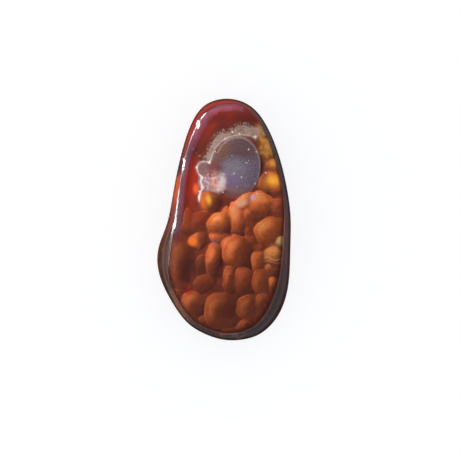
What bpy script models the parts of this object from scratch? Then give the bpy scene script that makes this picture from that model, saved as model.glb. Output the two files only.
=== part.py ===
"""A fire agate: one free-form polished stone with a flat ground back and a low domed top.

The stone lies on its back. +Z is up through the dome, +Y runs along the stone to its narrow
end, and the origin is under its middle, at the level of the flat back.
"""

import bmesh
import bpy
from mathutils import Vector
from mathutils.geometry import intersect_point_line

MM = 0.001

# Finished size of the stone, in metres
LENGTH = 19.36 * MM
WIDTH = 10.7 * MM
THICKNESS = 5.5 * MM

# Outline from above, clockwise from the narrow end, in millimetres from the stone's middle.
# The third number is how wide the flank shows there, between the outline and the shoulder.
OUTLINE = [
    (0.2, 9.68, 0.65),
    (1.8, 9.27, 0.55),
    (2.92, 8.25, 0.45),
    (3.85, 6.55, 0.4),
    (4.6, 4.35, 0.45),
    (5.09, 2.1, 0.5),
    (5.32, 0.1, 0.6),
    (5.31, -1.9, 0.7),
    (5.25, -4.0, 0.8),
    (5.02, -5.9, 1.0),
    (4.32, -7.7, 1.05),
    (3.06, -9.05, 0.9),
    (1.6, -9.6, 0.75),
    (0.0, -9.64, 0.65),
    (-1.58, -9.15, 0.6),
    (-3.02, -8.2, 0.6),
    (-4.19, -6.6, 0.65),
    (-5.02, -4.95, 0.85),
    (-5.37, -3.4, 1.05),
    (-5.2, -2.0, 1.0),
    (-4.7, -0.65, 0.75),
    (-4.32, 0.8, 0.6),
    (-3.95, 2.9, 0.5),
    (-3.42, 5.3, 0.45),
    (-2.75, 7.4, 0.5),
    (-1.62, 9.1, 0.6),
]

# The middle of the dome runs along this line, from the narrow end to the wide one
SPINE = ((0.4, 6.2), (0.2, -5.4))

# Rings of the cage from the back to the crown: height as a share of the thickness, how many
# flank widths below that, how many inside the outline, and what share of the way on to the spine
RINGS = [
    (0.0, 0.0, 0.3, 0.4),
    (0.0, 0.0, 0.3, 0.07),
    (0.05, 0.0, 0.15, 0.01),
    (0.3, 0.0, 0.0, 0.0),
    (0.9, 2.45, 0.0, 0.0),
    (0.9, 1.0, 0.4, 0.0),
    (0.9, 0.15, 1.4, 0.035),
    (0.95, 0.0, 1.55, 0.32),
]
CROWN_RISE = 0.25 * MM  # how far the middle of the dome stands above its last ring
END_DROP = 0.7 * MM  # how far the dome falls from its middle to each end

END_EDGES = 4  # edges of a ring across each end of the stone, where its cap's grid starts
SUBDIVISION = 2
FIT_ROUNDS = 8  # rounds that pull the cage out until the subdivided curve meets the outline

BODY_COLOUR = (0.26, 0.055, 0.02, 1.0)


def clear_scene():
    for old in list(bpy.data.objects):
        bpy.data.objects.remove(old, do_unlink=True)


def neighbours(points):
    """Each point of a closed loop with the one before it and the one after it."""
    count = len(points)
    return [(points[i - 1], points[i], points[(i + 1) % count]) for i in range(count)]


def cage_through(points):
    """The closed cage whose subdivided curve passes through the points."""
    cage = list(points)
    for _ in range(FIT_ROUNDS):
        reached = [(before + 4 * here + after) / 6 for before, here, after in neighbours(cage)]
        cage = [here + goal - met for here, goal, met in zip(cage, points, reached)]
    return cage


def spine_point(point):
    """The nearest point of the spine."""
    end, other_end = (Vector((x, y, 0.0)) for x, y in SPINE)
    nearest, share = intersect_point_line(point, end, other_end)
    if share < 0.0:
        return end
    return other_end if share > 1.0 else nearest


def ring_points(height, flanks_down, flanks_in, spine_share):
    """One ring of the cage: the outline moved inwards and lifted."""
    outline = [Vector((x, y, 0.0)) for x, y, _ in OUTLINE]
    moved = []
    for (before, here, after), (_, _, flank) in zip(neighbours(outline), OUTLINE):
        along = (after - before).normalized()
        inwards = Vector((along.y, -along.x, 0.0))
        inside = here + inwards * flank * flanks_in
        place = inside.lerp(spine_point(inside), spine_share) * MM
        place.z = height * THICKNESS - flanks_down * flank * MM
        moved.append(place)
    return cage_through(moved)


def ring_edges(ring):
    """The edges that join the vertices of one ring to each other."""
    inside = set(ring)
    return [
        edge
        for edge in {edge for vert in ring for edge in vert.link_edges}
        if inside.issuperset(edge.verts)
    ]


def close_end(mesh, ring, place):
    """Fill a ring with a grid of quads that starts from the edges across its two ends."""
    count = len(OUTLINE)
    half = END_EDGES // 2
    ends = set(range(-half, half)) | set(range(count // 2 - half, count // 2 + half))
    ends = {number % count for number in ends}
    across = []
    for edge in ring_edges(ring):
        low, high = sorted(vert[place] for vert in edge.verts)
        first = high if (low, high) == (0, count - 1) else low
        if first in ends:
            across.append(edge)
    return bmesh.ops.grid_fill(mesh, edges=across, use_interp_simple=True)["faces"]


def stone_mesh():
    """The coarse cage: a ring at the back extruded up to the crown, closed at both ends."""
    cage = bmesh.new()
    place = cage.verts.layers.int.new("place on the outline")
    back = bmesh.ops.create_circle(cage, segments=len(OUTLINE), radius=1.0)["verts"]
    for number, vert in enumerate(back):
        vert[place] = number
    ring = back
    for number, values in enumerate(RINGS):
        if number > 0:
            made = bmesh.ops.extrude_edge_only(cage, edges=ring_edges(ring))["geom"]
            ring = [item for item in made if isinstance(item, bmesh.types.BMVert)]
        points = ring_points(*values)
        for vert in ring:
            vert.co = points[vert[place]]
    close_end(cage, back, place)
    crown = close_end(cage, ring, place)
    inner = {vert for face in crown for vert in face.verts} - set(ring)
    bmesh.ops.translate(cage, verts=list(inner), vec=(0.0, 0.0, CROWN_RISE))
    for vert in cage.verts:
        towards_end = vert.co.y / (LENGTH / 2)
        vert.co.z -= END_DROP * towards_end**2 * vert.co.z / THICKNESS
    bmesh.ops.recalc_face_normals(cage, faces=cage.faces)

    mesh = bpy.data.meshes.new("fire_agate")
    cage.to_mesh(mesh)
    cage.free()
    mesh.shade_smooth()
    return mesh


def polished_material():
    """Iron-brown chalcedony with a wet polish."""
    material = bpy.data.materials.new("polished_chalcedony")
    material.use_nodes = True
    shader = material.node_tree.nodes["Principled BSDF"]
    shader.inputs["Base Color"].default_value = BODY_COLOUR
    shader.inputs["Roughness"].default_value = 0.08
    shader.inputs["Metallic"].default_value = 0.0
    shader.inputs["IOR"].default_value = 1.54
    material.diffuse_color = BODY_COLOUR
    return material


def settle(stone):
    """Bring the finished form to its full size, over the origin, with its back at z = 0."""
    finished = stone.evaluated_get(bpy.context.evaluated_depsgraph_get()).to_mesh()
    places = [vert.co.copy() for vert in finished.vertices]
    low = Vector(min(place[axis] for place in places) for axis in range(3))
    high = Vector(max(place[axis] for place in places) for axis in range(3))
    base = Vector(((low.x + high.x) / 2, (low.y + high.y) / 2, low.z))
    scale = Vector((WIDTH, LENGTH, THICKNESS))
    for vert in stone.data.vertices:
        vert.co = Vector(
            (vert.co[axis] - base[axis]) * scale[axis] / (high[axis] - low[axis])
            for axis in range(3)
        )


def build_stone(collection):
    stone = bpy.data.objects.new("fire_agate", stone_mesh())
    stone.data.materials.append(polished_material())
    collection.objects.link(stone)
    rounding = stone.modifiers.new("rounding", "SUBSURF")
    rounding.levels = SUBDIVISION
    rounding.render_levels = SUBDIVISION
    settle(stone)
    return stone


def main():
    clear_scene()
    collection = bpy.data.collections.new("fire agate")
    bpy.context.scene.collection.children.link(collection)
    build_stone(collection)


main()
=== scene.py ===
import math
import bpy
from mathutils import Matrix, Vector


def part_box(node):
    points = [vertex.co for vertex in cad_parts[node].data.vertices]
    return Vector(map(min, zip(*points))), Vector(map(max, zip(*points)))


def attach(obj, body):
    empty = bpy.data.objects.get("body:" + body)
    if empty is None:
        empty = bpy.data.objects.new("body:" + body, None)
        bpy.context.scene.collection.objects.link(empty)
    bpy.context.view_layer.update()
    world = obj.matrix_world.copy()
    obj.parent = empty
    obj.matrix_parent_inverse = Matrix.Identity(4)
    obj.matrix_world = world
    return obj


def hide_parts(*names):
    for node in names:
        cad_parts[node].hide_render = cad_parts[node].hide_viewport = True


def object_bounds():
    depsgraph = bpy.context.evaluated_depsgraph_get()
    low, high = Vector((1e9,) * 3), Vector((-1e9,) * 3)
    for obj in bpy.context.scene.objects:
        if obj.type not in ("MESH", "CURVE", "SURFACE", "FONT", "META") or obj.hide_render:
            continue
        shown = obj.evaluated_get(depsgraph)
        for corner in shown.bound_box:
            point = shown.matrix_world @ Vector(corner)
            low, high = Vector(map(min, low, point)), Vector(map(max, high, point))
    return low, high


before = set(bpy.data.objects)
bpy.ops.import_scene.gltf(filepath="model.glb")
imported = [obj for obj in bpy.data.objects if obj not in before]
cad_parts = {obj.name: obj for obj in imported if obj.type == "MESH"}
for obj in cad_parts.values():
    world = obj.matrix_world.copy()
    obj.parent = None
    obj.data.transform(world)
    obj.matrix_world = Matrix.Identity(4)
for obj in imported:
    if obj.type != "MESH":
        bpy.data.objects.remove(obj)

from types import SimpleNamespace

import bmesh
import bpy
import numpy as np
from mathutils import Vector, noise
from mathutils.geometry import intersect_point_line

millimetre = 0.001
cadLow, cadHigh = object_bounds()

# Everything about the stone is in millimetres from its middle, seen from above: x to the right,
# y towards the narrow end, z up from the flat back.
stone = {
    # outline from above, clockwise from the narrow end, and how wide the flank shows there
    "outline": [
        (0.2, 9.68, 0.65), (1.8, 9.27, 0.55), (2.92, 8.25, 0.45), (3.85, 6.55, 0.4),
        (4.6, 4.35, 0.45), (5.09, 2.1, 0.5), (5.32, 0.1, 0.6), (5.31, -1.9, 0.7),
        (5.25, -4.0, 0.8), (5.02, -5.9, 1.0), (4.32, -7.7, 1.05), (3.06, -9.05, 0.9),
        (1.6, -9.6, 0.75), (0.0, -9.64, 0.65), (-1.58, -9.15, 0.6), (-3.02, -8.2, 0.6),
        (-4.19, -6.6, 0.65), (-5.02, -4.95, 0.85), (-5.37, -3.4, 1.05), (-5.2, -2.0, 1.0),
        (-4.7, -0.65, 0.75), (-4.32, 0.8, 0.6), (-3.95, 2.9, 0.5), (-3.42, 5.3, 0.45),
        (-2.75, 7.4, 0.5), (-1.62, 9.1, 0.6),
    ],
    "spine": ((0.4, 6.2), (0.2, -5.4)),  # the middle of the dome runs along this line
    # rings of the cage: height, flank widths below it, flank widths inwards, share on to the spine
    "rings": [
        (0.0, 0.0, 0.3, 0.4),
        (0.0, 0.0, 0.3, 0.07),
        (0.28, 0.0, 0.15, 0.01),
        (1.65, 0.0, 0.0, 0.0),
        (4.95, 2.45, 0.0, 0.0),
        (4.95, 1.0, 0.4, 0.0),
        (4.95, 0.15, 1.4, 0.035),
        (5.22, 0.0, 1.55, 0.32),
    ],
    "crownRise": 0.25,  # how far the middle of the dome stands above its last ring
    "endDrop": 0.7,  # how far the dome falls from its middle to each end
    "endEdges": 4,  # edges across each end, where the end's grid starts
    "fitRounds": 8,
    "curveSteps": 8,  # places between two points of the outline, for distances from it
}

clearCap = {
    "subdivision": 4,
    "ior": 1.54,
    "roughness": 0.085,
    "roughnessSpread": 1.5,  # how much rougher the polish gets in places
    "absorbColour": (0.92, 0.78, 0.68),
    "absorbDensity": 1200.0,
    "wayThrough": 1.15,  # how long the way of the light through the stone counts, in depths
    "polishScale": 0.9,  # polishing marks per millimetre
}

fireLayer = {
    "subdivision": 3,
    "topCuts": 3,  # how finely each face above the shoulder is divided further
    "skin": 0.08,  # clear stone between the layer and the polished surface at the flank
    "floorDepth": 1.15,  # how deep the level lies from which the bubbles rise
    "edgeDepth": 0.4,  # the same close to the flank
    "deepBetween": (1.0, 3.2),  # the depth goes from the one to the other here, in flank widths
    "topBetween": (0.9, 1.02),  # where the top of the layer starts, in flank widths
    "dividedFrom": 0.85,
    "dividedNormal": 0.3,
    "redDepth": 0.7,  # how deep the red jasper lies
    "eyeDepth": 0.58,
    "gapRise": 0.24,  # how far the gaps between the bubbles stand above the deepest level
    "bubbleBase": 0.33,
    "liftStep": 0.25,  # height for a lift of 1, in radii
    "bubbleRise": 0.09,  # height of a bubble's crest over its rim, in radii
    "bubbleLean": 0.05,  # how far the side towards the light stands over the other one, in radii
    "leanLimit": 1.2,
    "meeting": 0.028,  # how far up and down two bubbles run into each other
    "edgeDrop": 0.2,  # how steeply a bubble falls outside its rim
    "lightDrop": 1.4,  # how much steeper that is on the side towards the light
    "dropBetween": (-0.4, 0.6),
    "gapMeeting": 0.05,  # how softly they run out into the gaps
    "glintPlace": 0.62,  # where a bubble's painted highlight is brightest, as a share of the way to its rim
    "glintSize": 0.36,  # how wide that crescent is, and how far it runs round the rim
    "glintReach": 0.75,
    "glintBetween": (-0.1, 0.5),
    "sunnyLimit": 1.3,
    "rimBetween": (-0.02, 0.1),  # over these heights above the gaps a bubble's colour sets in
    "eyeRise": 0.04,
    "eyeEdgeDrop": 1.6,
    "eyeFall": 0.07,  # how far the lens sinks for each millimetre towards its foot
    "fallFrom": 5.5,
    "fallLength": 4.5,
    "shelfBetween": (-0.6, 0.2),  # the shelf slopes off over these distances from its edge
    "hazeSink": 0.11,
    "hazeFlat": 0.18,
    "hazeSlope": 0.6,
    "uneven": ((1.3, 0.12), (0.55, 0.06)),  # size and depth of the waves that bend the outlines
    "unevenSeeds": (3.7, 8.2),
    "noiseStretch": 1.6,
    "lumpSize": 0.5,
    "lumpDepth": 0.008,
    "lumpSeed": 1.3,
    "roughness": 0.5,
    "metal": 0.06,
    "wrinkleHeight": 0.06,
    "wrinkleStrength": 0.6,
    "ringHeight": 0.25,  # height of the fine rings on the bubbles, as a share of the wrinkles
    "lightLevel": 0.96,  # how bright a white layer lies under the studio's lamps
}
fire = SimpleNamespace(**fireLayer)

# bubbles of the fire layer: x, y, half width, half height, turn, lift, glow, gold, shine (the strength of
# the painted highlight), and the side that takes the painted light as an angle, 90 towards the narrow end
# and 180 to the left
bubbles = [
    (3.2, 6.84, 0.68, 0.8, 20, 0.6, 0.95, 0.6, 0.35, 135),
    (3.36, 5.56, 0.76, 0.84, 10, 0.35, 0.95, 0.6, 0.3, 120),
    (3.92, 4.12, 0.68, 0.6, 0, 0.3, 1.0, 0.55, 0.35, 110),
    (3.78, 2.96, 0.98, 0.77, 0, 0.3, 1.2, 0.5, 0.3, 100),
    (2.88, 1.08, 0.92, 1.12, 0, 0.35, 1.85, 0.38, 1.0, 110),
    (1.76, 1.6, 0.68, 0.44, 30, 0.7, 1.75, 0.45, 1.0, 135),
    (1.48, 1.16, 0.56, 0.4, 20, 0.95, 2.45, 0.16, 1.0, 135),
    (1.04, 0.0, 0.58, 1.2, 8, 0.5, 2.15, 0.28, 1.0, 120),
    (1.88, 0.2, 0.52, 0.78, 10, 0.45, 1.4, 0.25, 0.5, 120),
    (2.16, -0.76, 0.61, 0.86, 0, 0.0, 1.0, 0.3, 0.1, 135),
    (-0.36, -0.24, 0.9, 0.78, 20, 0.48, 1.8, 0.42, 1.0, 120),
    (0.2, 0.2, 0.44, 0.76, 0, 0.6, 1.5, 0.4, 0.3, 110),
    (-0.4, -1.32, 0.68, 0.52, 0, 0.1, 2.1, 0.25, 0.4, 135),
    (-1.24, 1.48, 0.68, 0.72, 0, 0.5, 1.2, 0.4, 0.3, 150),
    (-1.52, -0.12, 0.65, 0.74, 0, 0.05, 0.7, 0.15, 0.0, 135),
    (-2.8, 0.04, 0.34, 0.78, 0, 0.05, 1.0, 0.3, 0.2, 135),
    (3.6, -0.96, 1.15, 1.17, -10, 0.45, 0.95, 0.4, 0.6, 150),
    (4.16, 0.92, 0.61, 0.78, 0, -0.05, 0.75, 0.2, 0.1, 135),
    (4.44, -1.76, 0.48, 0.44, 30, 1.15, 2.0, 1.0, 0.4, 100),
    (3.92, -2.88, 0.77, 0.86, 0, 0.45, 1.25, 0.62, 0.35, 120),
    (2.8, -3.32, 0.65, 0.82, 0, 0.3, 1.4, 0.38, 0.4, 150),
    (0.44, -2.0, 0.74, 0.66, 15, 0.3, 1.2, 0.2, 0.7, 150),
    (1.04, -2.6, 1.14, 1.28, 15, 0.4, 1.08, 0.3, 0.7, 145),
    (2.2, -1.96, 0.69, 0.86, 0, -0.05, 0.88, 0.2, 0.05, 135),
    (2.88, -2.32, 0.61, 0.52, 0, 0.0, 1.0, 0.2, 0.1, 135),
    (-2.04, -1.68, 0.64, 0.52, 25, 0.35, 1.65, 0.38, 0.3, 180),
    (-0.82, -3.08, 0.53, 1.2, -6, 0.6, 1.3, 0.3, 0.62, 140),
    (-2.24, -0.52, 0.95, 0.95, 0, -0.15, 0.7, 0.2, 0.1, 135),
    (-3.16, -3.52, 1.28, 1.44, 0, -0.2, 0.58, 0.3, 0.08, 180),
    (-1.76, -3.72, 0.51, 0.96, -8, -0.1, 0.56, 0.4, 0.05, 135),
    (-1.6, -5.08, 0.82, 0.65, 30, 0.05, 0.73, 0.25, 0.1, 135),
    (-2.4, -6.64, 0.9, 0.82, 10, 0.45, 0.92, 0.3, 0.62, 135),
    (-2.84, -7.4, 0.47, 0.52, 0, 0.45, 0.8, 0.35, 0.25, 135),
    (-3.6, -6.44, 0.61, 0.86, 20, 0.0, 0.5, 0.3, 0.05, 135),
    (-0.24, -7.28, 1.26, 1.47, -25, 0.45, 0.6, 0.3, 0.45, 150),
    (1.84, -7.0, 0.82, 0.99, 0, 0.4, 0.65, 0.38, 0.4, 150),
    (3.12, -6.6, 0.69, 0.69, 0, 0.25, 0.85, 0.28, 0.2, 140),
    (0.48, -4.76, 0.56, 0.99, 8, 0.45, 0.86, 0.25, 0.38, 150),
    (1.52, -4.84, 0.78, 1.12, 0, 0.3, 1.15, 0.25, 0.12, 135),
    (2.84, -4.92, 0.74, 0.95, 0, 0.35, 0.84, 0.38, 0.2, 160),
    (3.8, -5.12, 0.34, 0.52, 5, 0.9, 1.7, 0.4, 0.7, 120),
    (3.6, -4.12, 0.47, 0.43, 0, 0.25, 0.9, 0.3, 0.15, 135),
    (1.68, -8.52, 0.61, 0.61, 0, 0.3, 0.55, 0.25, 0.2, 135),
    (0.24, -8.96, 0.78, 0.47, 0, 0.1, 0.7, 0.4, 0.1, 135),
    (-1.36, -8.12, 0.65, 0.56, 0, 0.15, 0.48, 0.25, 0.1, 135),
    (-2.64, -8.04, 0.52, 0.43, -30, 0.05, 0.6, 0.3, 0.15, 135),
    (2.88, -7.88, 0.69, 0.65, 0, 0.05, 0.45, 0.25, 0.05, 135),
]

# the lavender lens and its lobes on the left: x, y, half width, half height, turn
eyeLobes = [
    (1.02, 4.12, 1.84, 2.5, -4.0), (-0.8, 3.0, 1.2, 1.2, 10.0), (-1.52, 4.0, 0.56, 0.56, 0.0),
    (-0.6, 4.6, 0.7, 0.7, 0.0),
]
# where the red jasper of the narrow end stops, from the left shoulder to the right one
jasperEdge = [
    (-3.6, 4.6), (-2.6, 4.9), (-2.0, 5.1), (-1.68, 5.4), (-1.12, 5.72), (-0.64, 6.52), (-0.32, 7.0),
    (0.0, 7.08), (0.4, 6.84), (0.8, 7.16), (1.12, 7.4), (1.76, 7.32), (2.32, 7.24), (2.88, 7.48),
    (3.36, 7.24),
]
# where the level shelf under the jasper and the lens ends, from left to right
shelfEdge = [(-3.6, 0.9), (-2.1, 0.9), (-1.6, 2.6), (2.2, 3.0), (2.8, 5.0), (3.0, 7.24), (3.4, 7.24)]
# the whitish rim round the eye from its left foot over the top to the right, with its half width
whiteRim = [
    (-1.92, 1.44, 0.03), (-1.9, 1.84, 0.07), (-1.78, 2.2, 0.06), (-1.62, 2.54, 0.09), (-1.8, 2.96, 0.05),
    (-1.7, 3.34, 0.09), (-1.98, 3.68, 0.02), (-2.1, 4.12, 0.04), (-1.88, 4.54, 0.02), (-1.5, 4.62, 0.03),
    (-1.12, 4.52, 0.06), (-0.94, 5.0, 0.03), (-0.76, 5.5, 0.02), (-0.46, 5.92, 0.02), (-0.14, 6.24, 0.02),
    (0.26, 6.5, 0.03), (0.74, 6.62, 0.02), (1.3, 6.7, 0.02), (1.86, 6.68, 0.02), (2.26, 6.56, 0.03),
    (2.44, 6.36, 0.01),
]
# white knots on the rim, and specks: x, y, half width
rimKnots = [
    (-1.12, 4.52, 0.24), (2.42, 6.54, 0.26), (-1.68, 3.3, 0.24), (-1.7, 2.56, 0.22), (-1.92, 1.8, 0.18),
    (1.2, 6.8, 0.14), (-2.1, 4.12, 0.16), (0.66, 6.92, 0.14), (0.1, 6.4, 0.12), (-0.66, 5.4, 0.12),
    # specks in the lens
    (0.64, 5.08, 0.09), (1.92, 5.56, 0.15), (1.92, 4.68, 0.09), (1.76, 4.5, 0.13), (1.36, 3.36, 0.14),
    (1.04, 2.6, 0.1), (0.56, 3.56, 0.08), (0.0, 3.96, 0.07),
    # specks along the foot of the jasper
    (-2.36, 5.6, 0.08), (-2.12, 5.24, 0.07), (-1.84, 5.04, 0.09), (-1.5, 5.0, 0.07), (-1.24, 5.3, 0.08),
    (-2.0, 5.06, 0.06),
]
# the grey haze outside the rim, from the right end to the left one, with its half width
haze = [
    (3.0, 7.16, 0.2), (2.56, 7.0, 0.26), (2.08, 6.96, 0.26), (1.6, 7.04, 0.32), (1.2, 7.06, 0.3),
    (0.88, 6.9, 0.22), (0.4, 6.62, 0.16), (0.0, 6.5, 0.26), (-0.32, 6.4, 0.28), (-0.58, 6.1, 0.2),
    (-0.82, 5.7, 0.12), (-1.02, 5.3, 0.1), (-1.24, 4.9, 0.07),
]

camera = {
    "middle": (0.48, -0.84),  # what the middle of the photograph looks at
    "viewWidth": 36.8,
    "height": 600.0,
    "sensor": 36.0,
    "clip": (0.01, 5.0),  # in metres
}


def tone(red, green, blue):
    # a colour as it is seen on screen, 0 to 255, made linear for the shaders
    linear = []
    for value in (red, green, blue):
        share = value / 255
        linear.append(share / 12.92 if share <= 0.04045 else ((share + 0.055) / 1.055) ** 2.4)
    return (*linear, 1.0)


def addObject(name, data):
    made = bpy.data.objects.new(name, data)
    bpy.context.scene.collection.objects.link(made)
    return made


def smoothShare(low, high, values):
    share = np.clip((values - low) / (high - low), 0.0, 1.0)
    return share * share * (3 - 2 * share)


# the stone's cage
def loopNeighbours(points):
    count = len(points)
    return [(points[i - 1], points[i], points[(i + 1) % count]) for i in range(count)]


def cageThrough(points):
    # pulls a closed cage out until its subdivided curve meets the points
    cage = list(points)
    for _ in range(stone["fitRounds"]):
        reached = [(before + 4 * here + after) / 6 for before, here, after in loopNeighbours(cage)]
        cage = [here + goal - met for here, goal, met in zip(cage, points, reached)]
    return cage


def spinePoint(point):
    end, otherEnd = (Vector((x, y, 0.0)) for x, y in stone["spine"])
    nearest, share = intersect_point_line(point, end, otherEnd)
    if share < 0.0:
        return end
    return otherEnd if share > 1.0 else nearest


def ringPoints(height, flanksDown, flanksIn, spineShare):
    outline = [Vector((x, y, 0.0)) for x, y, _ in stone["outline"]]
    moved = []
    for (before, here, after), (_, _, flank) in zip(loopNeighbours(outline), stone["outline"]):
        along = (after - before).normalized()
        inwards = Vector((along.y, -along.x, 0.0))
        inside = here + inwards * flank * flanksIn
        place = inside.lerp(spinePoint(inside), spineShare)
        place.z = height - flanksDown * flank
        moved.append(place)
    return cageThrough(moved)


def ringEdges(ring):
    inside = set(ring)
    edges = {edge for vert in ring for edge in vert.link_edges}
    return [edge for edge in edges if inside.issuperset(edge.verts)]


def closeEnd(cage, ring, order):
    # a grid of quads that starts from the edges across both ends of the ring
    count = len(stone["outline"])
    half = stone["endEdges"] // 2
    ends = set(range(-half, half)) | set(range(count // 2 - half, count // 2 + half))
    ends = {number % count for number in ends}
    across = []
    for edge in ringEdges(ring):
        low, high = sorted(vert[order] for vert in edge.verts)
        first = high if (low, high) == (0, count - 1) else low
        if first in ends:
            across.append(edge)
    return bmesh.ops.grid_fill(cage, edges=across, use_interp_simple=True)["faces"]


def stoneMesh(name):
    cage = bmesh.new()
    order = cage.verts.layers.int.new("outline order")
    back = bmesh.ops.create_circle(cage, segments=len(stone["outline"]), radius=1.0)["verts"]
    for number, vert in enumerate(back):
        vert[order] = number
    ring = back
    for number, values in enumerate(stone["rings"]):
        if number > 0:
            made = bmesh.ops.extrude_edge_only(cage, edges=ringEdges(ring))["geom"]
            ring = [item for item in made if isinstance(item, bmesh.types.BMVert)]
        points = ringPoints(*values)
        for vert in ring:
            vert.co = points[vert[order]]
    closeEnd(cage, back, order)
    crown = closeEnd(cage, ring, order)
    inner = {vert for face in crown for vert in face.verts} - set(ring)
    bmesh.ops.translate(cage, verts=list(inner), vec=(0.0, 0.0, stone["crownRise"]))
    topHeight = max(vert.co.z for vert in cage.verts)
    halfLength = max(vert.co.y for vert in cage.verts)
    for vert in cage.verts:
        towardsEnd = vert.co.y / halfLength
        vert.co.z -= stone["endDrop"] * towardsEnd**2 * vert.co.z / topHeight
    cage.verts.layers.int.remove(order)
    bmesh.ops.recalc_face_normals(cage, faces=cage.faces)
    bmesh.ops.scale(cage, verts=cage.verts, vec=(millimetre,) * 3)
    mesh = bpy.data.meshes.new(name)
    cage.to_mesh(mesh)
    cage.free()
    mesh.shade_smooth()
    return mesh


def shownMesh(piece):
    graph = bpy.context.evaluated_depsgraph_get()
    return bpy.data.meshes.new_from_object(piece.evaluated_get(graph), depsgraph=graph)


def stoneObject(name, subdivision):
    # the subdivided stone, fitted to the box of its solid
    piece = addObject(name, stoneMesh(name))
    rounding = piece.modifiers.new("rounding", "SUBSURF")
    rounding.levels = subdivision
    rounding.render_levels = subdivision
    low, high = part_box("fire_agate")
    places = np.array([vert.co for vert in shownMesh(piece).vertices])
    madeLow, madeHigh = places.min(axis=0), places.max(axis=0)
    for vert in piece.data.vertices:
        for axis in range(3):
            share = (vert.co[axis] - madeLow[axis]) / (madeHigh[axis] - madeLow[axis])
            vert.co[axis] = low[axis] + share * (high[axis] - low[axis])
    return piece


# fields over the stone, worked out for many points at once
farAway = 1e9
farBelow = -9.0


def outlineCurve():
    # the smooth outline with its flank widths, as rows of x, y, flank
    cage = np.array(cageThrough([Vector(row) for row in stone["outline"]]))
    before, after, beyond = (np.roll(cage, shift, axis=0) for shift in (1, -1, -2))
    rows = []
    for t in np.linspace(0, 1, stone["curveSteps"], endpoint=False):
        weights = (
            (1 - t) ** 3 / 6,
            (3 * t**3 - 6 * t**2 + 4) / 6,
            (-3 * t**3 + 3 * t**2 + 3 * t + 1) / 6,
            t**3 / 6,
        )
        rows.append(sum(w * part for w, part in zip(weights, (before, cage, after, beyond))))
    return np.concatenate(rows)


def distanceInside(x, y):
    # distance from the outline in millimetres, and the same counted in flank widths
    nearest = np.full(len(x), farAway)
    flank = np.zeros(len(x))
    for cx, cy, width in outlineCurve():
        apart = np.hypot(x - cx, y - cy)
        closer = apart < nearest
        nearest[closer] = apart[closer]
        flank[closer] = width
    return nearest, nearest / flank


def distanceToPath(x, y, path):
    # distance from a path of x, y, half width, less that half width
    nearest = np.full(len(x), farAway)
    for (x0, y0, w0), (x1, y1, w1) in zip(path, path[1:]):
        run = (x1 - x0) ** 2 + (y1 - y0) ** 2
        along = np.clip(((x - x0) * (x1 - x0) + (y - y0) * (y1 - y0)) / run, 0.0, 1.0)
        apart = np.hypot(x - x0 - along * (x1 - x0), y - y0 - along * (y1 - y0))
        nearest = np.minimum(nearest, apart - w0 - along * (w1 - w0))
    return nearest


def inEllipse(x, y, middle, halfSize, turn):
    # the place counted across and up the ellipse, in half sizes
    angle = math.radians(turn)
    dx, dy = x - middle[0], y - middle[1]
    across = dx * math.cos(angle) + dy * math.sin(angle)
    up = dy * math.cos(angle) - dx * math.sin(angle)
    return across / halfSize[0], up / halfSize[1]


def ellipseShare(x, y, middle, halfSize, turn):
    # 0 in the middle of the ellipse and 1 on its edge
    return np.hypot(*inEllipse(x, y, middle, halfSize, turn))


def unevenness(x, y, size, seed):
    # a slow wander between about -1 and 1
    values = [noise.noise(Vector((a / size, b / size, seed))) for a, b in zip(x, y)]
    return np.array(values) * fire.noiseStretch


def bubbleField(x, y):
    # the bubbles' common height and, mixed where two meet, each one's marks, among them the masks for the
    # painted highlight and the painted light and shade
    soft = fire.meeting
    best = np.full(len(x), farBelow)
    second = np.full(len(x), farBelow)
    total = np.zeros(len(x))
    marks = {name: np.zeros(len(x)) for name in ("glow", "gold", "crown", "lit", "sunny")}
    for bx, by, halfWidth, halfHeight, turn, lift, glow, gold, shine, lightFrom in bubbles:
        radius = math.sqrt(halfWidth * halfHeight)
        across, up = inEllipse(x, y, (bx, by), (halfWidth, halfHeight), turn)
        angle = math.radians(lightFrom - turn)
        lightX, lightY = math.cos(angle), math.sin(angle)
        share = np.hypot(across, up)
        towardsLight = across * lightX + up * lightY
        steeper = smoothShare(*fire.dropBetween, towardsLight)
        fall = fire.edgeDrop + fire.lightDrop * steeper
        rise = fire.bubbleRise * radius * (1 - share**2)
        rise = rise - fall * radius * np.maximum(share - 1.0, 0.0)
        leaning = np.clip(towardsLight, -fire.leanLimit, fire.leanLimit)
        lean = fire.bubbleLean * radius * leaning
        height = fire.bubbleBase + lift * radius * fire.liftStep + rise + lean
        fromGlint = (share - fire.glintPlace) / fire.glintSize
        sideways = (up * lightX - across * lightY) / fire.glintReach
        facing = smoothShare(*fire.glintBetween, towardsLight)
        own = {
            "glow": glow,
            "gold": gold,
            "crown": 1 - share,
            # painted light: lit is the mask of the painted highlight, sunny how far a place lies towards
            # the light, for painted light and shade
            "lit": shine * np.exp(-(fromGlint**2) - sideways**2) * facing,
            "sunny": np.clip(towardsLight, -fire.sunnyLimit, fire.sunnyLimit),
        }
        second = np.maximum(second, np.minimum(best, height))
        best = np.maximum(best, height)
        weight = np.exp((height - fire.gapRise) / soft)
        total += weight
        for name, values in own.items():
            marks[name] += weight * values
    marks = {name: row / (total + 1e-12) for name, row in marks.items()}
    return fire.gapRise + soft * np.log(total + 1e-12), best - second, marks


def divideTop(mesh):
    # smaller faces above the shoulder, where the bubbles are
    bm = bmesh.new()
    bm.from_mesh(mesh)
    bm.verts.ensure_lookup_table()
    places = np.array([vert.co for vert in bm.verts]) / millimetre
    _, inFlanks = distanceInside(places[:, 0], places[:, 1])
    onTop = {
        vert for vert, flanks in zip(bm.verts, inFlanks)
        if flanks > fire.dividedFrom and vert.normal.z > fire.dividedNormal
    }
    edges = {edge for face in bm.faces if onTop.issuperset(face.verts) for edge in face.edges}
    bmesh.ops.subdivide_edges(bm, edges=list(edges), cuts=fire.topCuts, use_grid_fill=True)
    bm.to_mesh(mesh)
    bm.free()


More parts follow.
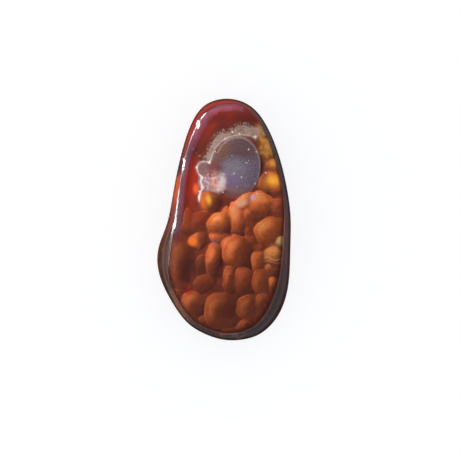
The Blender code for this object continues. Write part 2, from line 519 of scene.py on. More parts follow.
def vectorsOf(items, name):
    flat = np.empty(len(items) * 3)
    items.foreach_get(name, flat)
    return flat.reshape(-1, 3)


def lensHeight(x, y, top):
    # the share of the way to the lens's edge and the height of the lens with its lobes
    shares = []
    heights = []
    for ex, ey, halfWidth, halfHeight, turn in eyeLobes:
        share = ellipseShare(x, y, (ex, ey), (halfWidth, halfHeight), turn)
        beyond = np.maximum(share - 1.0, 0.0)
        drop = fire.eyeRise * share**2 + fire.eyeEdgeDrop * beyond
        shares.append(share)
        heights.append(top - math.sqrt(halfWidth * halfHeight) * drop)
    return np.min(shares, axis=0), np.max(heights, axis=0)


def buildFireLayer():
    source = stoneObject("fire_layer", fire.subdivision)
    mesh = shownMesh(source)
    bpy.data.objects.remove(source)
    divideTop(mesh)
    places = vectorsOf(mesh.vertices, "co") / millimetre
    normals = vectorsOf(mesh.vertex_normals, "vector")
    moved = places - normals * fire.skin
    x, y = moved[:, 0], moved[:, 1]
    inside, inFlanks = distanceInside(x, y)

    bentX, bentY = x, y
    seedX, seedY = fire.unevenSeeds
    for size, far in fire.uneven:
        bentX = bentX + unevenness(x, y, size, seedX) * far
        bentY = bentY + unevenness(x, y, size, seedY) * far
    best, apart, marks = bubbleField(bentX, bentY)
    best += unevenness(x, y, fire.lumpSize, fire.lumpSeed) * fire.lumpDepth
    soft = fire.gapMeeting
    rounded = soft * np.logaddexp(best / soft, fire.gapRise / soft)
    sink = fire.eyeFall * np.clip(fire.fallFrom - y, 0.0, fire.fallLength)
    eyeTop = fire.floorDepth - fire.eyeDepth - sink
    eyeShare, eyeHeight = lensHeight(x, y, eyeTop)
    knots = np.max([1 - np.hypot(x - kx, y - ky) / radius for kx, ky, radius in rimKnots], axis=0)
    edgeX, edgeY = np.array(jasperEdge).T
    aboveEdge = y - np.interp(x, edgeX, edgeY)
    shelfX, shelfY = np.array(shelfEdge).T
    onShelf = smoothShare(*fire.shelfBetween, y - np.interp(x, shelfX, shelfY))
    redTop = fire.floorDepth - fire.redDepth - sink
    redHeight = redTop * onShelf + farBelow * (onShelf <= 0)
    floorHeight = np.full(len(x), fire.gapRise)
    hazeDistance = distanceToPath(x, y, haze)
    beyondHaze = np.maximum(hazeDistance - fire.hazeFlat, 0.0)
    hazeTop = eyeTop - fire.hazeSink - fire.hazeSlope * beyondHaze
    fields = np.stack([best, np.maximum(eyeHeight, hazeTop), redHeight, floorHeight])
    relief = np.maximum(fields[1:3].max(axis=0), rounded)
    owner = fields.argmax(axis=0)

    inwards = smoothShare(*fire.deepBetween, inFlanks)
    deep = fire.edgeDepth + (fire.floorDepth - fire.edgeDepth) * inwards
    # close to the flank the bubbles keep their shape, but their crests are ground flat
    depth = np.maximum(deep - relief * deep / fire.floorDepth, 0.0)
    onTop = smoothShare(*fire.topBetween, inFlanks) * (normals[:, 2] > 0.0)
    moved[:, 2] -= depth * onTop
    mesh.vertices.foreach_set("co", (moved * millimetre).ravel())

    nextBest = np.sort(fields, axis=0)[-2]
    overGap = best - np.maximum(floorHeight, redHeight)
    isBubble = owner == 0
    values = {name: np.where(isBubble, row, 0.0) for name, row in marks.items()}
    values |= {
        "inFlanks": inFlanks,
        "insideEdge": inside,
        "crease": np.minimum(apart, best - nextBest) * isBubble,
        "inBubble": smoothShare(*fire.rimBetween, overGap) * isBubble,
        "eyeShare": eyeShare,
        "aboveJasperEdge": aboveEdge,
        "rimDistance": distanceToPath(x, y, whiteRim),
        "hazeDistance": hazeDistance,
        "clearDepth": depth * onTop + fire.skin,
        "rimKnots": np.maximum(knots, 0.0),
    }
    for name, row in values.items():
        layer = mesh.attributes.new(name, "FLOAT", "POINT")
        layer.data.foreach_set("value", row.astype(np.float32))
    mesh.update()
    print("fire layer:", len(mesh.polygons), "faces")
    return addObject("fire_layer", mesh)


# nodes
def addNode(near, kind, **settings):
    # near is a node tree or a socket in it
    node = near.id_data.nodes.new("ShaderNode" + kind)
    for name, value in settings.items():
        setattr(node, name, value)
    return node


def feed(node, values):
    # plain values or other sockets, by the name or number of the node's socket
    for name, value in values.items():
        if isinstance(value, bpy.types.NodeSocket):
            node.id_data.links.new(value, node.inputs[name])
        else:
            node.inputs[name].default_value = value
    return node


def socketIn(values):
    return next(value for value in values if isinstance(value, bpy.types.NodeSocket))


def calculate(operation, *values, clamp=False):
    node = addNode(socketIn(values), "Math", operation=operation, use_clamp=clamp)
    return feed(node, dict(enumerate(values))).outputs[0]


def times(product, *values):
    for value in values:
        product = calculate("MULTIPLY", product, value)
    return product


def centred(value):
    # a value between 0 and 1, counted from its middle
    return calculate("SUBTRACT", value, 0.5)


def without(share):
    return calculate("SUBTRACT", 1.0, share)


def vectorMath(operation, *vectors, **sockets):
    node = addNode(vectors[0], "VectorMath", operation=operation)
    feed(node, {**dict(enumerate(vectors)), **sockets})
    return node.outputs["Value" if operation == "LENGTH" else "Vector"]


def ramp(value, low, high, start=0.0, end=1.0):
    node = addNode(value, "MapRange", interpolation_type="SMOOTHSTEP")
    return feed(node, dict(enumerate((value, low, high, start, end)))).outputs["Result"]


def mixColour(share, under, over):
    node = addNode(share, "Mix", data_type="RGBA")
    return feed(node, {"Factor": share, "A": under, "B": over}).outputs["Result"]


def stain(base, *rows):
    # lays colours over the base; each row has what the colour follows, where in that it starts and
    # where it is full, its full share, the colour, and masks that hold it back
    for value, low, high, full, colour, *masks in rows:
        share = times(ramp(value, low, high, 0.0, full), *masks)
        base = mixColour(share, base, tone(*colour))
    return base


def colourRamp(value, stops):
    node = addNode(value, "ValToRGB")
    while len(node.color_ramp.elements) < len(stops):
        node.color_ramp.elements.new(0.5)
    for element, (position, colour) in zip(node.color_ramp.elements, stops):
        element.position = position
        element.color = tone(*colour)
    return feed(node, {"Fac": value}).outputs["Color"]


def noiseTexture(place, scale, detail, **sockets):
    node = addNode(place, "TexNoise")
    return feed(node, {"Vector": place, "Scale": scale, "Detail": detail, **sockets}).outputs["Fac"]


def attribute(near, name):
    return addNode(near, "Attribute", attribute_name=name).outputs["Fac"]


def inMillimetres(tree):
    objectPlace = addNode(tree, "TexCoord").outputs["Object"]
    return vectorMath("SCALE", objectPlace, Scale=1 / millimetre)


def newGroup(name, vectors, numbers, *outputs):
    group = bpy.data.node_groups.new(name, "ShaderNodeTree")
    sockets = [(label, "INPUT", "Vector") for label in vectors]
    sockets += [(label, "INPUT", "Float") for label in numbers]
    sockets += [(label, "OUTPUT", "Float") for label in outputs]
    for label, side, kind in sockets:
        group.interface.new_socket(label, in_out=side, socket_type="NodeSocket" + kind)
    given = group.nodes.new("NodeGroupInput").outputs[:len(vectors) + len(numbers)]
    return group, given, group.nodes.new("NodeGroupOutput")


def useGroup(effect, **values):
    node = addNode(socketIn(values.values()), "Group", node_tree=effect)
    return feed(node, values).outputs


def softPatchGroup():
    # a soft elliptical patch with a wandering edge
    vectors, numbers = ("Place", "Middle", "HalfSize"), ("Turn", "Softness", "Wander")
    group, given, out = newGroup("softPatch", vectors, numbers, "Mask")
    place, middle, halfSize, turn, softness, wander = given
    turned = addNode(group, "VectorRotate", rotation_type="Z_AXIS")
    fromMiddle = vectorMath("SUBTRACT", place, middle)
    feed(turned, {"Vector": fromMiddle, "Angle": times(turn, -1.0)})
    sized = vectorMath("DIVIDE", turned.outputs[0], halfSize)
    length = vectorMath("LENGTH", vectorMath("MULTIPLY", sized, (1.0, 1.0, 0.0)))
    shift = times(centred(noiseTexture(place, 1.7, 3.0)), wander, 2.0)
    share = calculate("ADD", length, shift)
    high = calculate("ADD", 1.0, softness)
    feed(out, {"Mask": ramp(share, high, without(softness))})
    return group


def grainGroup():
    # the fine sugary grain of chalcedony, and sparse pale specks
    group, given, out = newGroup("sugarGrain", ("Place",), ("Fineness", "SpeckSize"), "Grain", "Specks")
    place, fineness, speckSize = given
    cells = addNode(group, "TexVoronoi", voronoi_dimensions="2D")
    feed(cells, {"Vector": place, "Scale": 1.15})
    near = ramp(cells.outputs["Distance"], speckSize, 0.0)
    colour = feed(addNode(group, "SeparateColor"), {0: cells.outputs["Color"]})
    chosen = calculate("GREATER_THAN", colour.outputs[0], 0.75)
    grain = noiseTexture(place, fineness, 4.0, Roughness=0.7)
    feed(out, {"Grain": grain, "Specks": times(near, chosen)})
    return group


def bandGroup():
    # thin wavy layers, as in banded chalcedony
    group, given, out = newGroup("agateBands", ("Place",), ("Depth", "PerMillimetre", "Wave"), "Bands")
    place, depth, perMillimetre, wave = given
    bent = calculate("ADD", depth, times(noiseTexture(place, 0.6, 2.0), wave))
    lines = addNode(group, "TexNoise", noise_dimensions="1D")
    feed(lines, {"W": times(bent, perMillimetre), "Scale": 1.0, "Detail": 3.0})
    feed(out, {"Bands": ramp(lines.outputs["Fac"], 0.35, 0.65)})
    return group


softPatch = softPatchGroup()
sugarGrain = grainGroup()
agateBands = bandGroup()

# colour patches of the layer, laid over each other in this order: colour from 0 to 255 as seen on
# screen, middle, half size, turn, softness, wander, strength
layerPatches = {
    "glowRed": ((172, 50, 34), (-2.5, 3.0), (0.52, 1.9), -6, 0.5, 0.15, 0.9),
    "glowOrange": ((250, 105, 50), (-2.14, 2.42), (0.2, 0.36), 0, 0.8, 0.2, 1.0),
    "dullRed": ((138, 52, 34), (-2.6, 0.8), (0.7, 1.0), 0, 0.6, 0.2, 0.7),
    "amberStreak": ((165, 75, 38), (-2.86, 0.1), (0.16, 0.7), -4, 0.9, 0.3, 0.8),
    "redFoot": ((146, 42, 26), (-2.76, -5.66), (0.4, 0.2), 10, 0.9, 0.4, 0.8),
    "redSeam": ((140, 54, 32), (-1.75, -4.9), (0.75, 0.12), 42, 0.9, 0.3, 0.6),
    "goldBody": ((215, 125, 50), (3.76, 3.0), (0.82, 0.58), 0, 0.8, 0.2, 0.9),
    # painted highlight: the bright core of the gold bubble at the right
    "goldCoreHighlight": ((255, 186, 66), (3.84, 3.08), (0.5, 0.3), 0, 1.0, 0.3, 1.0),
    "orangeSide": ((240, 110, 40), (4.5, 3.1), (0.16, 0.4), 0, 0.9, 0.2, 0.7),
    # painted highlight on the small bubble above it
    "goldTopHighlight": ((225, 150, 74), (3.94, 4.5), (0.3, 0.26), 0, 0.9, 0.3, 0.9),
    # painted highlights on the gold bubble by the lens: its core, and the crescent on its lit left side
    "goldSpotHighlight": ((255, 185, 70), (-1.18, 1.56), (0.17, 0.34), 10, 1.0, 0.3, 1.0),
    "orangeCrescentHighlight": ((225, 118, 55), (-1.6, 1.2), (0.22, 0.42), 20, 0.9, 0.2, 0.9),
    "tanRough": ((170, 114, 52), (3.08, 6.5), (0.55, 1.1), 12, 0.6, 0.5, 0.85),
    "goldSpeck": ((226, 180, 92), (3.12, 6.78), (0.14, 0.14), 0, 0.9, 0.3, 0.9),
    "goldFleck": ((205, 150, 74), (3.4, 6.1), (0.16, 0.3), 0, 0.9, 0.5, 0.8),
    # maroon of the gap right of the lens, made lighter by painted light where the lens throws its shadow
    "maroonGapPaintedLight": ((122, 62, 54), (3.05, 4.4), (0.4, 1.2), 0, 0.6, 0.1, 0.8),
    "tanLow": ((150, 94, 44), (3.3, 5.4), (0.6, 0.8), 0, 0.7, 0.5, 0.7),
    # painted highlights on the bubbles below the lens, from here down to tanHighlight
    "peachHighlight": ((255, 160, 104), (0.88, 0.5), (0.26, 0.5), 8, 1.0, 0.2, 0.9),
    "lavenderHighlight": ((215, 180, 205), (2.26, 1.74), (0.2, 0.22), 0, 0.9, 0.2, 0.9),
    "peachSideHighlight": ((255, 155, 95), (2.84, 1.72), (0.36, 0.3), -20, 0.9, 0.2, 0.9),
    "peachSpotHighlight": ((255, 186, 146), (1.42, 1.3), (0.44, 0.28), 24, 0.9, 0.2, 1.0),
    "tanHighlight": ((228, 158, 90), (3.02, -0.52), (0.5, 0.24), 40, 1.0, 0.2, 0.8),
    "tanWaves": ((214, 148, 92), (3.86, -2.6), (0.44, 0.5), 20, 0.9, 0.9, 0.6),
    "paleGold": ((206, 180, 130), (4.46, -1.74), (0.26, 0.26), 0, 0.8, 0.2, 0.85),
    # painted highlight at the lit left end of a small bubble
    "emberHighlight": ((255, 130, 40), (-2.46, -1.8), (0.26, 0.24), 20, 0.9, 0.3, 1.0),
    "hazeSpot": ((120, 90, 100), (-0.68, -1.76), (0.3, 0.22), 20, 1.0, 0.3, 0.5),
    "amberDeep": ((152, 84, 46), (-3.72, -2.5), (0.55, 0.55), 20, 1.0, 0.3, 0.75),
    "darkPool": ((80, 40, 38), (-2.7, -3.75), (0.95, 1.05), 0, 1.0, 0.3, 0.8),
}
lensPatches = {
    "eyeTop": ((100, 76, 78), (1.1, 5.7), (1.7, 1.1), 0, 0.5, 0.1, 0.9),
    "eyeBrown": ((124, 92, 74), (-0.1, 5.4), (0.6, 0.9), -30, 0.5, 0.1, 0.8),
    "eyeHaze": ((142, 142, 156), (0.95, 4.1), (0.8, 0.8), 0, 0.7, 0.2, 0.8),
    "eyeBlue": ((138, 122, 160), (0.6, 3.1), (0.9, 0.6), 10, 0.8, 0.2, 0.7),
    "eyeFoot": ((148, 114, 118), (0.5, 2.0), (1.4, 0.6), 10, 0.6, 0.1, 0.8),
    "mauveRed": ((134, 82, 80), (-0.8, 4.1), (0.6, 0.7), 0, 0.5, 0.15, 0.95),
    "milkVeil": ((190, 150, 150), (-0.9, 2.92), (0.95, 0.85), 0, 0.5, 0.15, 0.9),
    "salmon": ((240, 178, 160), (-0.78, 3.0), (0.36, 0.62), 8, 0.8, 0.5, 0.9),
    "redVein": ((150, 70, 60), (-1.0, 3.6), (0.2, 0.34), 8, 0.7, 0.2, 0.8),
    "lavenderVeil": ((182, 152, 178), (-1.36, 2.9), (0.2, 0.42), 0, 0.7, 0.2, 0.9),
    "lobeMauve": ((146, 110, 108), (-1.56, 4.0), (0.42, 0.46), 0, 0.5, 0.1, 0.9),
    "milkWhite": ((250, 238, 250), (-0.16, 3.04), (0.3, 0.5), -6, 0.7, 0.6, 1.0),
    "milkFoot": ((240, 215, 215), (-0.34, 2.4), (0.36, 0.2), 0, 0.8, 0.3, 0.9),
}
flankPatches = {
    "lowRim": ((158, 104, 92), (0.6, -9.25), (1.9, 0.4), 0, 0.6, 0.1, 0.9),
    "lowLeft": ((134, 82, 56), (-3.5, -7.1), (0.5, 1.6), 32, 0.6, 0.1, 0.7),
    "dullRed": ((120, 52, 40), (-4.3, 0.7), (0.9, 1.4), 0, 0.7, 0.3, 0.9),
    "orangeGlow": ((172, 70, 34), (-3.9, 2.6), (0.9, 1.25), 0, 0.5, 0.3, 1.0),
    "brickEnd": ((134, 36, 20), (-1.2, 7.9), (3.3, 3.1), 0, 0.4, 0.3, 1.0),
    "maroonStep": ((84, 32, 30), (-3.6, 4.05), (0.7, 0.5), 0, 0.6, 0.3, 0.8),
    "mauveSide": ((126, 76, 72), (5.0, -1.6), (0.6, 2.8), 0, 0.7, 0.2, 0.9),
}

# colours along the gold of a bubble's body and of its painted highlight, and from the foot of the flank
# inwards
bodyStops = [(0.0, (140, 58, 40)), (0.35, (150, 75, 40)), (0.8, (170, 108, 50)), (1.0, (162, 134, 80))]
glintStops = [
    (0.0, (252, 176, 142)), (0.25, (240, 134, 82)), (0.4, (240, 132, 66)), (0.8, (250, 180, 80)),
    (1.0, (224, 204, 140)),
]
flankStops = [
    (0.0, (30, 16, 12)), (0.22, (56, 28, 14)), (0.42, (66, 36, 18)), (0.52, (98, 66, 46)),
    (0.62, (50, 24, 18)), (0.8, (100, 64, 56)), (1.0, (70, 34, 26)),
]


def patchMask(place, middle, halfSize, turn, softness, wander):
    return useGroup(
        softPatch, Place=place, Middle=(*middle, 0.0), HalfSize=(*halfSize, 1.0),
        Turn=math.radians(turn), Softness=softness, Wander=wander,
    )["Mask"]


def bandMask(depth, place, perMillimetre, wave):
    return useGroup(
        agateBands, Depth=depth, Place=place, PerMillimetre=perMillimetre, Wave=wave,
    )["Bands"]


def layPatches(base, patches, place):
    for colour, middle, halfSize, turn, softness, wander, strength in patches.values():
        mask = patchMask(place, middle, halfSize, turn, softness, wander)
        base = mixColour(times(mask, strength), base, tone(*colour))
    return base


def newMaterial(name):
    material = bpy.data.materials.new(name)
    material.use_nodes = True
    return material, material.node_tree, material.node_tree.nodes["Principled BSDF"]


def clearMaterial():
    material, tree, shader = newMaterial("clear_chalcedony")
    marks = noiseTexture(inMillimetres(tree), clearCap["polishScale"], 2.0)
    low = clearCap["roughness"]
    feed(shader, {
        "Base Color": (1.0, 1.0, 1.0, 1.0),
        "Transmission Weight": 1.0,
        "IOR": clearCap["ior"],
        "Metallic": 0.0,
        "Roughness": ramp(marks, 0.3, 0.7, low, low * clearCap["roughnessSpread"]),
    })
    absorb = addNode(tree, "VolumeAbsorption")
    feed(absorb, {"Color": (*clearCap["absorbColour"], 1.0), "Density": clearCap["absorbDensity"]})
    feed(tree.nodes["Material Output"], {"Volume": absorb.outputs[0]})
    return material


def throughClearStone(colour):
    # paler by what the clear stone above the layer takes away, so that colours look as given
    depth = attribute(colour, "clearDepth")
    density = clearCap["wayThrough"] * clearCap["absorbDensity"] * millimetre
    passed = addNode(colour, "CombineXYZ")
    for number, share in enumerate(clearCap["absorbColour"]):
        feed(passed, {number: calculate("POWER", math.exp(-density * (1 - share)), depth)})
    divided = vectorMath("DIVIDE", colour, passed.outputs[0])
    level = vectorMath("SCALE", divided, Scale=1 / fire.lightLevel)
    return vectorMath("MINIMUM", level, (1.0, 1.0, 1.0))


def layerFields(tree):
    # what the layer's colours follow: the place in millimetres, noises and the mesh's attributes
    place = inMillimetres(tree)
    x, y, z = feed(addNode(tree, "SeparateXYZ"), {0: place}).outputs
    grain, specks = useGroup(sugarGrain, Place=place, Fineness=9.0, SpeckSize=0.13)
    at = SimpleNamespace(place=place, x=x, y=y, z=z, grain=grain, specks=specks)
    at.sugar = ramp(grain, 0.3, 0.7)
    at.mottle = noiseTexture(place, 1.3, 4.0)
    at.fine = noiseTexture(place, 4.5, 3.0)
    for name in (
        "glow", "gold", "crown", "lit", "sunny", "crease", "inBubble", "inFlanks", "insideEdge",
        "eyeShare", "aboveJasperEdge", "rimDistance", "hazeDistance", "rimKnots",
    ):
        setattr(at, name, attribute(tree, name))
    at.rings = bandMask(at.crown, place, 7.0, 0.6)
    return at


def bubbleColour(at):
    # red brown, orange or gold, with painted light: brighter and paler on the side towards the light
    shine = times(ramp(at.sunny, -0.2, 0.9, 0.95, 1.35), at.glow)
    ringShare = times(at.rings, ramp(at.sunny, -0.3, 0.8, 0.05, 0.3))
    shine = times(shine, calculate("ADD", ringShare, 0.9))
    body = vectorMath("SCALE", colourRamp(at.gold, bodyStops), Scale=shine)
    # painted shade on the side away from the light, its edge broken up by the mottle
    paintedFarShade = calculate("MULTIPLY_ADD", centred(at.mottle), 1.6, at.sunny)
    body = stain(
        body,
        (at.mottle, 0.45, 0.7, 0.22, (110, 52, 38)),
        (paintedFarShade, 0.25, -0.9, 0.9, (102, 54, 43)),
        # painted light: a red orange lit rim on the side towards the light
        (at.crown, 0.22, 0.03, 1.0, (184, 84, 44), ramp(at.sunny, 0.1, 0.7, 0.0, 0.4)),
    )
    # painted highlight: the glint colour where the lit mask is strong
    glint = calculate("MULTIPLY", at.lit, 1.5, clamp=True)
    return stain(
        mixColour(glint, body, colourRamp(at.gold, glintStops)),
        # painted highlight: the paler core of the glint
        (at.lit, 0.6, 1.0, 0.5, (255, 196, 146)),
        (at.fine, 0.5, 0.75, 0.22, (108, 50, 36)),
        (at.fine, 0.5, 0.2, 0.13, (204, 116, 58)),
        # painted shade in the creases where two bubbles meet
        (at.crease, 0.08, 0.0, 0.08, (80, 34, 28)),
        (at.y, -2.5, -7.0, 0.3, (110, 54, 40)),
    )


def jasperColour(at):
    # the red jasper of the narrow end
    jasper = stain(
        tone(98, 46, 38),
        (at.aboveJasperEdge, 0.0, 1.8, 1.0, (150, 52, 38)),
        (at.mottle, 0.46, 0.7, 0.4, (104, 44, 38)),
    )
    jasper = mixColour(times(at.grain, 0.25), jasper, tone(100, 36, 28))
    return stain(jasper, (at.x, 0.6, 2.6, 0.8, (92, 38, 30)))


def layFolds(at, colour):
    # the folded tan bubble and the rough gold mass at the right edge
    folds = bandMask(at.y, at.place, 4.5, 2.0)
    inFolds = patchMask(at.place, (3.9, -2.9), (0.75, 0.85), 0, 0.5, 0.2)
    inRough = patchMask(at.place, (3.15, 6.0), (0.6, 1.5), 11.46, 0.4, 0.4)
    return stain(
        colour,
        (folds, 0.4, 1.0, 0.45, (216, 162, 108), inFolds),
        (folds, 0.5, 0.0, 0.32, (112, 62, 40), inFolds),
        (at.mottle, 0.48, 0.6, 0.5, (206, 158, 84), inRough),
        (at.mottle, 0.47, 0.38, 0.6, (104, 62, 38), inRough),
    )


def layLens(at, colour):
    # the lavender lens, fading at its foot and behind the bubbles that stand there
    lens = mixColour(at.sugar, tone(106, 98, 116), tone(146, 134, 156))
    lens = layPatches(lens, lensPatches, at.place)
    leftLobe = ramp(at.x, 0.1, -0.3)
    topHalf = ramp(at.y, 4.0, 5.2)
    arcs = bandMask(at.eyeShare, at.place, 16.0, 0.06)
    lens = stain(
        lens,
        (at.fine, 0.5, 0.66, 0.4, (146, 84, 76), leftLobe),
        (at.fine, 0.46, 0.34, 0.7, (245, 230, 236), leftLobe, ramp(at.y, 4.0, 3.4)),
        (at.eyeShare, 0.35, 0.7, 0.2, (160, 128, 106), arcs, topHalf),
        (arcs, 0.4, 0.0, 0.08, (64, 44, 50), topHalf),
        (at.grain, 0.58, 0.4, 0.25, (76, 60, 74)),
        (at.grain, 0.62, 0.78, 0.5, (190, 180, 196)),
    )
    inEye = ramp(calculate("MULTIPLY_ADD", at.mottle, 0.1, at.eyeShare), 1.09, 0.99)
    atFoot = times(at.inBubble, ramp(at.y, 3.0, 2.4))
    footFade = times(ramp(at.y, 3.0, 2.0), ramp(at.eyeShare, 0.7, 1.02))
    inEye = times(inEye, without(atFoot), without(footFade))
    onEdge = times(ramp(at.eyeShare, 0.9, 0.95), ramp(at.eyeShare, 1.02, 0.98))
    edgeLine = times(ramp(at.y, 2.4, 4.4, 0.08, 0.4), onEdge)
    return mixColour(edgeLine, mixColour(inEye, colour, lens), tone(178, 160, 156))


def layRimAndHaze(at, colour):
    # the grey haze with its border and threads, then the whitish rim, its knots, and specks
    wisps = times(centred(at.fine), 0.32)
    hazeEdge = calculate("ADD", at.hazeDistance, wisps)
    thin = times(ramp(at.mottle, 0.4, 0.6, 0.4, 0.8), ramp(at.x, 3.1, 2.0, 0.15, 1.0))
    hazeColour = mixColour(at.sugar, tone(150, 136, 126), tone(176, 164, 152))
    colour = stain(colour, (hazeEdge, 0.5, 0.0, 0.25, (120, 92, 84)))
    colour = mixColour(times(ramp(hazeEdge, 0.16, -0.2), thin), colour, hazeColour)
    offBorder = calculate("ABSOLUTE", calculate("ADD", hazeEdge, 0.02))
    threads = noiseTexture(at.place, 2.2, 2.0, Distortion=1.5)
    offThread = calculate("ABSOLUTE", centred(threads))
    rimEdge = calculate("MULTIPLY_ADD", wisps, 0.2, at.rimDistance)
    rimShine = calculate("MULTIPLY_ADD", at.rimKnots, 0.9, 0.5, clamp=True)
    thickFoot = ramp(at.y, 4.6, 3.6, 0.0, 0.35)
    rimShine = calculate("ADD", rimShine, thickFoot, clamp=True)
    return stain(
        colour,
        (offBorder, 0.08, 0.0, 0.55, (206, 190, 176), thin),
        (offThread, 0.045, 0.0, 1.0, (196, 178, 166), ramp(hazeEdge, 0.45, 0.1, 0.0, 0.6)),
        (rimEdge, 0.22, 0.0, 0.35, (158, 136, 130)),
        (rimEdge, 0.05, -0.03, 1.0, (238, 226, 222), rimShine),
        (at.rimKnots, 0.35, 0.8, 1.0, (252, 248, 244)),
        (at.eyeShare, 1.5, 1.15, 1.0, (225, 218, 228), at.specks),
    )


def layFlank(at, colour, above):
    # the flank round the fire layer, and the dark wall where the layer meets it
    bands = bandMask(at.insideEdge, at.place, 5.0, 0.15)
    # the grey of the flank on the right: partly grey chalcedony, partly a painted dull reflection of the
    # room
    flank = mixColour(bands, tone(76, 58, 53), tone(90, 68, 62))
    # painted shade: near-black towards the outline
    flank = stain(flank, (at.inFlanks, 0.4, 0.08, 0.8, (40, 30, 30)))
    wave = times(centred(bands), 0.1)
    lines = colourRamp(calculate("ADD", at.inFlanks, wave), flankStops)
    flank = mixColour(ramp(at.x, 1.4, -0.6), flank, lines)
    # lower down the side the patches drift along it, so that their borders don't stand upright
    drift = calculate("MULTIPLY_ADD", centred(at.mottle), 6.0, 1.2)
    drift = times(drift, ramp(at.z, 4.2, 2.8))
    drifted = feed(addNode(drift, "CombineXYZ"), {"X": at.x, "Y": calculate("ADD", at.y, drift)})
    flank = layPatches(flank, flankPatches, drifted.outputs[0])
    wall = (at.inFlanks, 1.45, 0.95, 0.8, (74, 34, 28), without(above))
    return mixColour(ramp(at.inFlanks, 0.96, 0.84), stain(colour, wall), flank)


def laySideAndBack(at, colour):
    # lower down the side: wavy level layers between red brown and tan
    layers = bandMask(at.z, at.place, 2.4, 1.5)
    side = stain(
        mixColour(layers, tone(82, 38, 30), tone(132, 76, 54)),
        (at.mottle, 0.44, 0.62, 0.7, (108, 42, 28)),
        (at.y, 4.5, 7.5, 0.6, (124, 40, 26)),
        (at.grain, 0.5, 0.72, 0.35, (176, 128, 100)),
    )
    lower = calculate("MULTIPLY_ADD", centred(at.mottle), 2.4, at.z)
    colour = mixColour(ramp(lower, 3.5, 2.3, 0.0, 0.85), colour, side)
    # the flat ground back: brown banded chalcedony
    bands = bandMask(at.insideEdge, at.place, 1.3, 3.0)
    back = stain(
        mixColour(bands, tone(104, 62, 47), tone(140, 100, 80)),
        (at.mottle, 0.4, 0.62, 0.75, (104, 44, 30)),
        (at.grain, 0.55, 0.7, 0.3, (184, 160, 140)),
    )
    return mixColour(ramp(at.z, 1.2, 0.4), colour, back)


def fireMaterial():
    material, tree, shader = newMaterial("fire_layer")
    at = layerFields(tree)
    gap = mixColour(ramp(at.mottle, 0.4, 0.6), tone(104, 51, 39), tone(130, 60, 42))
    colour = mixColour(at.inBubble, gap, bubbleColour(at))
    above = ramp(at.aboveJasperEdge, -0.2, 0.1)
    colour = mixColour(above, colour, jasperColour(at))
    colour = layPatches(colour, layerPatches, at.place)
    for lay in (layFolds, layLens, layRimAndHaze):
        colour = lay(at, colour)
    colour = laySideAndBack(at, layFlank(at, colour, above))
    wrinkles = calculate("MULTIPLY_ADD", at.rings, fire.ringHeight, at.fine)
    bump = feed(addNode(tree, "Bump"), {
        "Strength": fire.wrinkleStrength,
        "Distance": fire.wrinkleHeight * millimetre,
        "Height": times(wrinkles, at.inBubble),
    })
    feed(shader, {
        "Base Color": throughClearStone(colour),
        "Normal": bump.outputs[0],
        "Roughness": fire.roughness,
        "Specular IOR Level": 0.0,  # stone on stone mirrors nothing
        "Metallic": times(at.inBubble, fire.metal),
    })
    return material


def buildClearCap():
    piece = stoneObject("clear_chalcedony", clearCap["subdivision"])
    piece.data.materials.append(clearMaterial())
    piece.visible_shadow = False  # lamps reach the layer through the clear stone
    return piece


layerPiece = buildFireLayer()
layerPiece.data.materials.append(fireMaterial())
capPiece = buildClearCap()
for piece in (layerPiece, capPiece):
    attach(piece, "root")
    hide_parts("fire_agate")
print("stone: fire layer and clear cap built")


# floor, lights and camera
studio = {
    "floorHalfSize": 3.0,
    "floorRoughness": 0.9,
    "floorColour": tone(249, 250, 252),
    "floorBase": tone(150, 150, 150),
    "floorStrength": 0.9,
    "floorGlow": 0.83,
    "floorAngle": 130.0,
    "keyAzimuth": 135.0,
    "keyElevation": 38.0,
    "overElevation": 88.0,
    "overShadow": 0.25,  # the share of the floor's lamp that throws a shadow
    "keyColour": (1.0, 0.985, 0.96),
    "keyStrength": 3.16,
    "keyAngle": 42.0,
    "fill": 0.4,
    "reflectedRoom": 0.1,
    "reflectedHorizon": 0.4,
    "reflectedBelow": 0.03,
    "roomTint": (0.97, 0.95, 1.05),
    "horizonFrom": (-0.85, -0.5),  # how far up, from -1 to 1, the dark below turns into the horizon
    "roomFrom": (-0.1, 0.3),  # and the horizon into the room above
    "panelDistance": 0.25,
    "skyWide": 15.0,
    "skyHigh": 15.0,
    "skySoftHigh": 27.0,
    "skySoftShare": 0.4,
}


def buildFloor():
    bm = bmesh.new()
    bmesh.ops.create_grid(bm, x_segments=1, y_segments=1, size=studio["floorHalfSize"])
    mesh = bpy.data.meshes.new("floor")
    bm.to_mesh(mesh)
    bm.free()
    floor = addObject("floor", mesh)
    material, _, shader = newMaterial("pale_floor")
    feed(shader, {
        "Base Color": studio["floorBase"],
        "Roughness": studio["floorRoughness"],
        "Emission Color": studio["floorColour"],
        "Emission Strength": studio["floorGlow"],
    })
    mesh.materials.append(material)
    floor.visible_glossy = False
    return floor


def aim(light, azimuth, elevation, distance=0.0):
    # turns a light so that it shines on the stone from there; azimuth 0 is +X and 90 is +Y
    a, e = math.radians(azimuth), math.radians(elevation)
    towards = Vector((math.cos(a) * math.cos(e), math.sin(a) * math.cos(e), math.sin(e))).normalized()
    light.location = towards * distance
    light.rotation_euler = towards.to_track_quat("Z", "Y").to_euler()


def addLight(name, kind, receivers, **settings):
    data = bpy.data.lights.new(name, kind)
    for key, value in settings.items():
        setattr(data, key, value)
    light = addObject(name, data)
    light.visible_camera = False
    light.visible_transmission = False
    lit = bpy.data.collections.new(name + " lights")
    for piece in receivers:
        lit.objects.link(piece)
    light.light_linking.receiver_collection = lit
    return light


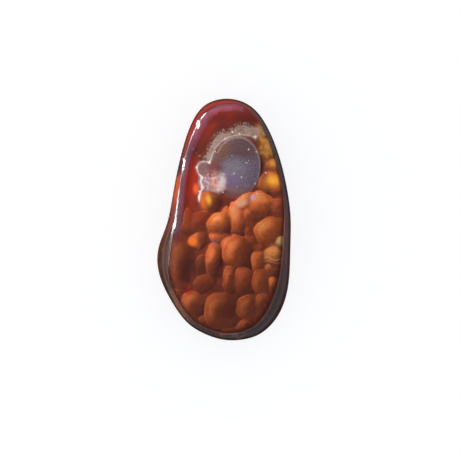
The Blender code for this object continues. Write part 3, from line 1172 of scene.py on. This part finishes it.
floor = buildFloor()
key = addLight("key", "SUN", (layerPiece,), energy=studio["keyStrength"],
               angle=math.radians(studio["keyAngle"]), color=studio["keyColour"])
aim(key, studio["keyAzimuth"], studio["keyElevation"])
shadowShare = studio["overShadow"]
for name, castsShadow, part in (("over", True, shadowShare), ("overSoft", False, 1 - shadowShare)):
    over = addLight(name, "SUN", (floor,), energy=studio["floorStrength"] * part,
                    angle=math.radians(studio["floorAngle"]), use_shadow=castsShadow)
    aim(over, studio["keyAzimuth"], studio["overElevation"])

# what the polished surface mirrors: name, azimuth, elevation, degrees wide, degrees high, radiance,
# colour
white, pink, sky = (1.0, 0.98, 0.97), (1.0, 0.8, 0.9), (0.58, 0.52, 1.0)
panels = [
    ("streakTop", 131.0, 9.5, 12.0, 8.0, 20.0, white),
    ("glintTop", 142.0, 10.0, 4.0, 26.0, 40.0, white),
    ("streakUpper", 150.0, 10.0, 9.0, 7.0, 18.0, white),
    ("streakThin", 159.0, 10.0, 9.0, 6.0, 10.0, pink),
    ("glintMiddle", 164.0, 8.0, 2.5, 24.0, 40.0, white),
    ("streakFaint", 169.5, 8.0, 5.0, 5.5, 9.0, pink),
    ("streakLower", 172.8, 6.5, 2.8, 10.5, 17.0, white),
    ("glintLower", 174.8, 9.0, 0.9, 20.0, 40.0, white),
    ("streakEnd", 176.0, 6.0, 2.6, 10.5, 8.0, white),
    ("streakTail", 179.0, 7.0, 2.6, 6.0, 3.5, pink),
]
skyRows = [
    (80, 8, 2.4), (95, 11, 3.8), (110, 16, 3.9), (125, 21, 3.0), (140, 25, 2.8), (155, 27, 2.4),
    (170, 27, 2.6),
]
softShare = studio["skySoftShare"]
for azimuth, elevation, radiance in skyRows:
    for name, high, share in (
        ("sky", studio["skyHigh"], 1 - softShare), ("skySoft", studio["skySoftHigh"], softShare),
    ):
        label = f"{name}{azimuth}"
        panels.append((label, azimuth, elevation, studio["skyWide"], high, radiance * share, sky))
panelDistance = studio["panelDistance"]
for name, azimuth, elevation, wide, high, radiance, colour in panels:
    width, height = (2 * panelDistance * math.tan(math.radians(size) / 2) for size in (wide, high))
    panel = addLight(name, "AREA", (capPiece,), energy=radiance * math.pi * width * height,
                     shape="RECTANGLE", size=width, size_y=height, color=colour)
    aim(panel, azimuth, elevation, panelDistance)
    panel.visible_diffuse = False


def buildWorld():
    world = bpy.data.worlds.new("room")
    bpy.context.scene.world = world
    world.use_nodes = True
    tree = world.node_tree
    path = addNode(tree, "LightPath")
    generated = addNode(tree, "TexCoord").outputs["Generated"]
    upwards = feed(addNode(tree, "SeparateXYZ"), {0: generated}).outputs["Z"]
    fill = (studio["fill"],) * 3 + (1.0,)
    below, horizon, above = (
        (*(studio[name] * share for share in studio["roomTint"]), 1.0)
        for name in ("reflectedBelow", "reflectedHorizon", "reflectedRoom")
    )
    room = mixColour(ramp(upwards, *studio["horizonFrom"]), below, horizon)
    room = mixColour(ramp(upwards, *studio["roomFrom"]), room, above)
    colour = mixColour(path.outputs["Is Glossy Ray"], fill, room)
    colour = mixColour(path.outputs["Is Camera Ray"], colour, studio["floorColour"])
    feed(tree.nodes["Background"], {"Color": colour})


buildWorld()


def buildCamera():
    data = bpy.data.cameras.new("camera")
    data.sensor_width = camera["sensor"]
    topHeight = cadHigh.z / millimetre
    data.lens = camera["sensor"] * camera["height"] / camera["viewWidth"]
    data.clip_start, data.clip_end = camera["clip"]
    viewer = addObject("camera", data)
    x, y = camera["middle"]
    viewer.location = (x * millimetre, y * millimetre, (topHeight / 2 + camera["height"]) * millimetre)
    bpy.context.scene.camera = viewer


buildCamera()
bpy.context.scene.view_settings.view_transform = "Standard"
print("studio: floor, lights, room and camera built")
